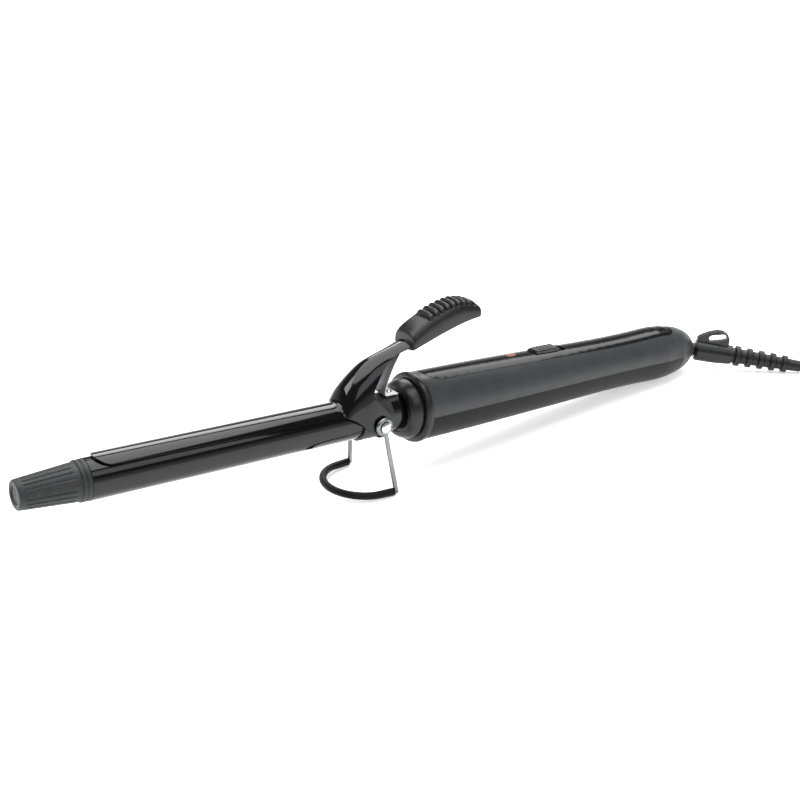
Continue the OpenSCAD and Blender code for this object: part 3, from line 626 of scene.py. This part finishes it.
def pressing():
    """The clip's outer face. Each row runs from the near edge up to the crest and down to the far
    edge. In side view a row is two straight legs, edge to middle to crest. Its half width at
    height z is w times the square root of 1 minus ((z - c) / (crest - c)) squared above c, and w
    below c, with w, c and the crest height smooth functions of x. The hood's front is then set
    back 2.4 along the barrel."""
    spoon_r, nose_r, nose_x, root_x, root_y = 9.15, 6.2, -115.2, -20.0, 7.3
    turn = np.linspace(0, np.pi / 2, 28)
    x = np.concatenate([nose_x - nose_r * np.cos(turn), np.linspace(nose_x, root_x, 60)[1:-1]])
    y = np.concatenate([nose_r * np.sin(turn), np.linspace(nose_r, root_y, 60)[1:-1]])
    z = np.sqrt(spoon_r**2 - y**2)
    spoon = np.stack([x, z, x, (z + spoon_r) / 2, x], -1)
    rows = np.concatenate([spoon, flow(PRESSING, 9)])
    crest = np.where(rows[:, 4] < -21, spoon_r, through(CREST_LINE, rows[:, 4])[:, 1])
    edge, middle = rows[:, None, 0:2], rows[:, None, 2:4]
    top = np.stack([rows[:, 4], crest], -1)[:, None]
    s = np.linspace(0, 1, 16)[None, :-1, None]
    t = np.sin(np.linspace(0, np.pi / 2, 34))[None, :, None]
    side = np.concatenate([edge + (middle - edge) * s, middle + (top - middle) * t], 1)
    wide = through(SIDE_LINE, side[..., 0])
    high = np.where(side[..., 0] < -21, spoon_r, through(CREST_LINE, side[..., 0])[..., 1])
    lift = np.clip((side[..., 1] - wide[..., 2]) / (high - wide[..., 2]), 0, 1)
    half = wide[..., 1] * np.sqrt(1 - lift**2)
    set_back, begin, full, leave, end = 2.4, -60, -20, -19, -2
    back = set_back * (ease((side[..., 0] - begin) / (full - begin))
                       * (1 - ease((side[..., 0] - leave) / (end - leave))))
    near = np.stack([side[..., 0] + back, -half, side[..., 1]], -1)
    near[:, -1, 1] = 0
    far = near[:, -2::-1] * [1, -1, 1]
    return np.concatenate([near, far], 1)


class IRON_OT_clip(OneStep):
    """Clip pressed from one sheet, with its ribbed thumb press"""
    bl_idname = "iron.clip"
    bl_label = "Clip"

    def execute(self, context):
        sizes, paint = self.parts(context)
        points = pressing()
        faces = sheet_faces(points.shape[0], points.shape[1])
        add_piece("clip_sheet", (in_iron(points).reshape(-1, 3), faces), paint["lacquer"], CLIP,
                  ("clip_lever",), sheet=sizes.clip_sheet, edge=0.12 * MM)

        # Thumb press: closed rounded sections along x; the crown carries ribs that are half
        # ellipses along x, faded out at either side
        front, back, tail = 16.6, 53.8, 3.2
        fillet = np.sin(np.linspace(0, np.pi / 2, 7))
        x = np.concatenate([[front, front, front], front + 1 - np.cos(np.arcsin(fillet[1:])),
                            np.linspace(front + 1.1, back - tail, 230),
                            back - tail + tail * np.sin(np.linspace(0, np.pi / 2, 40))[1:]])
        grow = np.concatenate([[0, 0.5, 0.87], 0.87 + 0.13 * fillet[1:], np.ones(230),
                               np.cos(np.linspace(0, np.pi / 2, 40))[1:]**0.8])
        s = through(THUMB_LINE, x)
        a = np.linspace(0, 2 * np.pi, 120, endpoint=False)
        c, n = np.cos(a), np.sin(a)
        middle = (s[:, 1] + s[:, 2]) / 2 + 0.3
        y = 7 * grow[:, None] * np.sign(c) * np.abs(c)**0.6
        up = (s[:, 3] - middle)[:, None] * np.abs(n)**0.8
        down = (middle - s[:, 1])[:, None] * np.abs(n)**0.5
        z = middle[:, None] + grow[:, None] * np.where(n > 0, up, -down)
        pitch, first, last = 2.9, 26.6, 48.0
        off = (x - first + pitch / 2) % pitch - pitch / 2
        rib = np.sqrt(np.clip(1 - (off / 1.05)**2, 0, 1)) * 1.3 - 0.6
        rib = rib * ease((x - first + 2.6) / 1.0) * ease((last + 2.2 - x) / 1.0)
        fade = ease((5.3 - np.abs(y)) / 0.9) * (n > 0)
        z = z + sizes.rib_height / MM * rib[:, None] * fade
        points = in_iron(np.stack([x[:, None] + 0 * y, y, z], -1))
        add_piece("thumb_grip", (points.reshape(-1, 3), sheet_faces(len(x), 120, False, True)),
                  paint["thumb"], CLIP, ("thumb_press",))

        # Leaf spring: a strip along a line in side view, with a rounded section of the strip's
        # width and thickness, closed at both ends
        bend = np.radians(np.arange(270, 175, -9))
        line = np.concatenate([[[12.4, 9.3]], np.stack([6.8 + 1.25 * np.cos(bend),
                                                       10.55 + 1.25 * np.sin(bend)], -1),
                               flow([[5.62, 11.6], [6.4, 15.05], [8.7, 21.1], [11.8, 27.2]], 12)])
        along = np.gradient(line, axis=0)
        along /= np.linalg.norm(along, axis=1, keepdims=True)
        out = np.stack([-along[:, 1], along[:, 0]], -1)
        wide, thick = 4.0, 0.25
        section = rounded([[-wide, -thick], [wide, -thick], [wide, thick], [-wide, thick]], 0.2, 3,
                          True)
        section = np.tile(section, (len(line) + 2, 1, 1))
        section[[0, -1]] = 0
        ends = np.concatenate([[0], np.arange(len(line)), [len(line) - 1]])
        line, out = line[ends][:, None], out[ends][:, None]
        strip = np.stack([line[..., 0] + out[..., 0] * section[..., 1], section[..., 0],
                          line[..., 1] + out[..., 1] * section[..., 1]], -1)
        leaf = add_piece("leaf", (in_iron(strip).reshape(-1, 3),
                                  sheet_faces(len(strip), strip.shape[1], False, True)),
                         paint["spring"], BODY, ("leaf_spring",))
        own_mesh(leaf)
        return {"FINISHED"}


class IRON_OT_handle(OneStep):
    """Front collar and trim ring"""
    bl_idname = "iron.handle"
    bl_label = "Handle"

    def execute(self, context):
        sizes, paint = self.parts(context)
        bore = sizes.barrel_radius / MM + 0.05
        a = np.radians(np.arange(0, 90, 7.5))
        nose = np.stack([19.9 - 5.5 * np.cos(a), 9.6 + 3.4 * np.sin(a)], -1)
        line = np.concatenate([[[15, bore], [15, 9.2]], [[14.2, 9.35]], nose,
                               [[19.9, 12.9], [20.2, 12.4], [20.58, 12.4], [20.58, bore]]])
        points, faces = turned(rounded(line, 0.15, 3, True), 144, True)
        add_piece("collar", (in_iron(points), faces), paint["collar"], BODY,
                  ("front_collar",))
        line = [[20.62, bore], [20.62, 13.6], [21, 14.7], [21.8, 15.2], [23.4, 15.2],
                [23.98, 14.8], [23.98, bore]]
        points, faces = turned(rounded(line, 0.4, 4, True), 160, True)
        add_piece("ring", (in_iron(points), faces), paint["collar"], BODY,
                  ("trim_ring",))
        return {"FINISHED"}


class IRON_OT_swivel(OneStep):
    """Ribbed strain relief of the swivel"""
    bl_idname = "iron.swivel"
    bl_label = "Swivel"

    def execute(self, context):
        paint = self.parts(context)[1]
        reach = float(np.linalg.norm(LEAD_ROUTE[0] - BALL))
        start, pitch = 26.02, 5.9
        x = np.linspace(start, reach, 260)
        core = np.interp(x, [start, reach], [3.9, 2.75])
        off = (x - start - 1.2) % pitch
        rib = ease(off / 0.7) * ease((3.5 - off) / 0.7)
        rib = rib * (x > start + 1.2) * (x < start + 1.2 + 5 * pitch)
        crown = np.interp(x, [start, reach], [5.15, 3.9])
        r = core + (crown - core) * rib
        line = np.concatenate([[[start, 0]], np.stack([x, r], -1), [[reach, 0]]])
        points, faces = turned(line, 72)
        add_piece("relief", (in_swivel(points), faces), paint["rubber"], TURN,
                  ("strain_relief",))
        return {"FINISHED"}


class IRON_OT_kept(OneStep):
    """Finishes of the parts that keep their own shape"""
    bl_idname = "iron.kept"
    bl_label = "Kept parts"

    def execute(self, context):
        paint = self.parts(context)[1]
        for node, name in NODE_FINISH.items():
            slots = frame["nodes"][node].material_slots
            for one in slots:
                one.material = paint[name]
        return {"FINISHED"}


class IRON_PT_panel(bpy.types.Panel):
    """Lists the iron's sizes, colours and build steps"""
    bl_idname = "IRON_PT_panel"
    bl_label = "Curling iron"
    bl_space_type = "VIEW_3D"
    bl_region_type = "UI"
    bl_category = "Iron"

    def draw(self, context):
        for group in (context.scene.iron_sizes, context.scene.iron_colours,
                      context.scene.iron_stage):
            box = self.layout.box()
            for name in group.__annotations__:
                box.prop(group, name)
        for step in STEPS:
            self.layout.operator(step.bl_idname)


STEPS = (IRON_OT_stage, IRON_OT_lead, IRON_OT_barrel, IRON_OT_clip, IRON_OT_handle,
         IRON_OT_swivel, IRON_OT_kept)
GROUPS = {"iron_sizes": IronSizes, "iron_colours": IronColours, "iron_stage": IronStage}


def register():
    for name, group in GROUPS.items():
        bpy.utils.register_class(group)
        setattr(bpy.types.Scene, name, PointerProperty(type=group))
    for one in (*STEPS, IRON_PT_panel):
        bpy.utils.register_class(one)


def unregister():
    for one in reversed((*STEPS, IRON_PT_panel)):
        bpy.utils.unregister_class(one)
    for name, group in GROUPS.items():
        delattr(bpy.types.Scene, name)
        bpy.utils.unregister_class(group)


def main():
    register()
    for step in STEPS:
        space, name = step.bl_idname.split(".")
        getattr(getattr(bpy.ops, space), name)()


if __name__ == "__main__":
    main()
